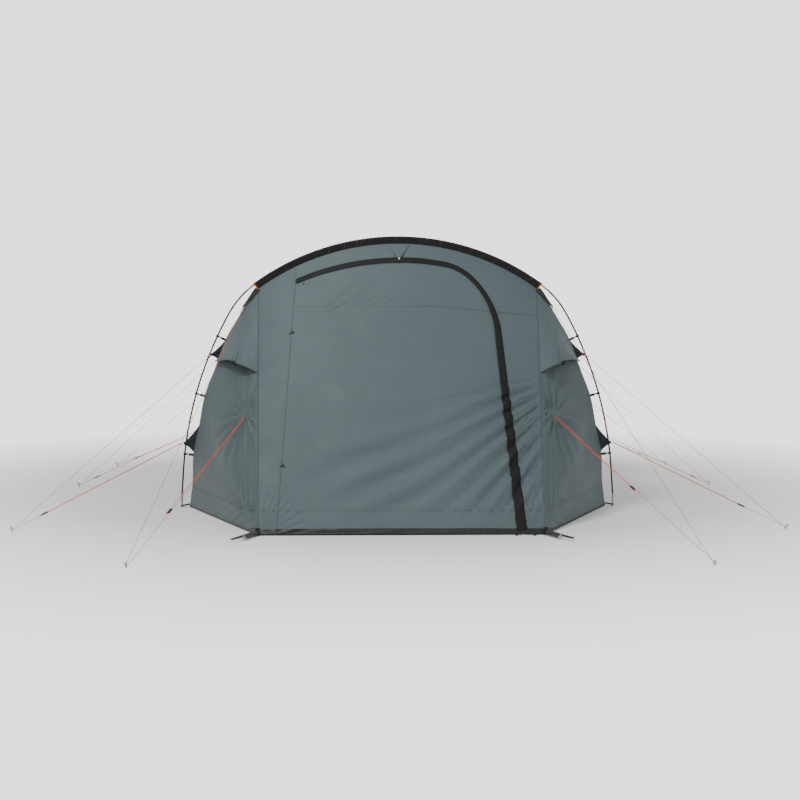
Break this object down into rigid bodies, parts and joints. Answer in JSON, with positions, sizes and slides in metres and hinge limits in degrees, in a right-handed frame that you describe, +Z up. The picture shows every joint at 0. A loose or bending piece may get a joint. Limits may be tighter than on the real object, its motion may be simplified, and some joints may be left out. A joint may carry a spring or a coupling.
{
  "type": "tunnel tent",
  "caption": "Family tunnel tent: outside arched poles, sloping front with a zipped door, hooded side vents, sewn-in groundsheet and V-shaped guylines with runners and pegs.",
  "frame": {"origin": "on the ground in the middle of the tent's footprint, at the groundsheet's underside", "axes": "+Z up; the door faces -Y and the bedroom end is at +Y; +X is to the right of someone who faces the door"},
  "size_m": [5.2602, 5.8601, 2.0035],
  "materials": {
    "pole": "black fibreglass, satin gloss",
    "pole_foot": "pale metal ferrule",
    "pole_sleeve": "black coated polyester",
    "fly": "slate grey coated polyester, ripstop weave, low sheen",
    "side_panel": "darker slate grey coated polyester",
    "zip_flap": "black coated polyester",
    "black_plastic": "black moulded nylon",
    "vent_mesh": "dark insect mesh",
    "bedroom": "pale breathable polyester",
    "groundsheet": "dark grey woven polyethylene",
    "guyline": "orange braided cord",
    "peg": "zinc plated steel"
  },
  "bodies": {
    "root": {"front_pole": "pole", "middle_pole": "pole", "rear_pole": "pole", "front_pole_foot_left": "pole_foot", "front_pole_foot_right": "pole_foot", "middle_pole_foot_left": "pole_foot", "middle_pole_foot_right": "pole_foot", "rear_pole_foot_left": "pole_foot", "rear_pole_foot_right": "pole_foot", "front_pole_sleeve": "pole_sleeve", "middle_pole_sleeve": "pole_sleeve", "rear_pole_sleeve": "pole_sleeve", "front_bay_fly": "fly", "rear_bay_fly": "fly", "rear_wall": "fly", "front_wall": "fly", "front_left_side_panel": "side_panel", "front_right_side_panel": "side_panel", "front_left_pole_clip_1": "black_plastic", "front_left_pole_clip_2": "black_plastic", "front_left_pole_clip_3": "black_plastic", "front_right_pole_clip_1": "black_plastic", "front_right_pole_clip_2": "black_plastic", "front_right_pole_clip_3": "black_plastic", "left_vent_mesh": "vent_mesh", "right_vent_mesh": "vent_mesh", "bedroom_inner": "bedroom", "groundsheet": "groundsheet", "front_pole_left_guy": "guyline", "front_pole_right_guy": "guyline", "middle_pole_left_guy": "guyline", "middle_pole_right_guy": "guyline", "porch_left_guy": "guyline", "porch_right_guy": "guyline", "rear_pole_left_guy": "guyline", "rear_pole_right_guy": "guyline", "front_pole_left_peg": "peg", "front_pole_right_peg": "peg", "middle_pole_left_peg": "peg", "middle_pole_right_peg": "peg", "porch_left_peg": "peg", "porch_right_peg": "peg", "rear_pole_left_peg": "peg", "rear_pole_right_peg": "peg", "front_corner_left_peg": "peg", "front_corner_right_peg": "peg"},
    "door": {"door_panel": "fly", "door_zip_flap": "zip_flap"},
    "zip_slider": {"door_zip_slider": "black_plastic"},
    "left_hood": {"left_vent_hood": "fly"},
    "right_hood": {"right_vent_hood": "fly"},
    "front_pole_left_runner_body": {"front_pole_left_runner": "black_plastic"},
    "front_pole_right_runner_body": {"front_pole_right_runner": "black_plastic"},
    "middle_pole_left_runner_body": {"middle_pole_left_runner": "black_plastic"},
    "middle_pole_right_runner_body": {"middle_pole_right_runner": "black_plastic"},
    "porch_left_runner_body": {"porch_left_runner": "black_plastic"},
    "porch_right_runner_body": {"porch_right_runner": "black_plastic"},
    "rear_pole_left_runner_body": {"rear_pole_left_runner": "black_plastic"},
    "rear_pole_right_runner_body": {"rear_pole_right_runner": "black_plastic"}
  },
  "joints": [
    {"name": "door_hinge", "type": "hinge", "parent": "root", "child": "door", "pos_m": [-0.82, -2.385, 0.006], "axis": [-0.0343, -0.5813, -0.813], "range_deg": [0, 95]},
    {"name": "zip_travel", "type": "hinge", "parent": "door", "child": "zip_slider", "pos_m": [0, -1.19698, -0.00475], "axis": [0, 1, 0], "range_deg": [0, 32]},
    {"name": "left_hood_hinge", "type": "hinge", "parent": "root", "child": "left_hood", "pos_m": [-1.03871, -1.1343, 1.60465], "axis": [0.4936, 0.0044, 0.8696], "range_deg": [0, 7]},
    {"name": "right_hood_hinge", "type": "hinge", "parent": "root", "child": "right_hood", "pos_m": [1.03871, -1.1343, 1.60465], "axis": [0.4936, -0.0044, -0.8696], "range_deg": [0, 7]},
    {"name": "front_pole_left_runner_slide", "type": "slide", "parent": "root", "child": "front_pole_left_runner_body", "axis": [0.6258, 0.7196, 0.3009], "range_m": [0, 1.15]},
    {"name": "front_pole_right_runner_slide", "type": "slide", "parent": "root", "child": "front_pole_right_runner_body", "axis": [-0.6258, 0.7196, 0.3009], "range_m": [0, 1.05]},
    {"name": "middle_pole_left_runner_slide", "type": "slide", "parent": "root", "child": "middle_pole_left_runner_body", "axis": [0.8964, 0.1537, 0.4158], "range_m": [0, 0.85]},
    {"name": "middle_pole_right_runner_slide", "type": "slide", "parent": "root", "child": "middle_pole_right_runner_body", "axis": [-0.8964, 0.1537, 0.4158], "range_m": [0, 0.87]},
    {"name": "porch_left_runner_slide", "type": "slide", "parent": "root", "child": "porch_left_runner_body", "axis": [0.2723, 0.888, 0.3705], "range_m": [0, 1.2]},
    {"name": "porch_right_runner_slide", "type": "slide", "parent": "root", "child": "porch_right_runner_body", "axis": [-0.3544, 0.863, 0.3601], "range_m": [0, 0.9]},
    {"name": "rear_pole_left_runner_slide", "type": "slide", "parent": "root", "child": "rear_pole_left_runner_body", "axis": [0.9291, 0.0441, 0.3672], "range_m": [0, 0.85]},
    {"name": "rear_pole_right_runner_slide", "type": "slide", "parent": "root", "child": "rear_pole_right_runner_body", "axis": [-0.9291, 0.0441, 0.3672], "range_m": [0, 0.78]}
  ]
}
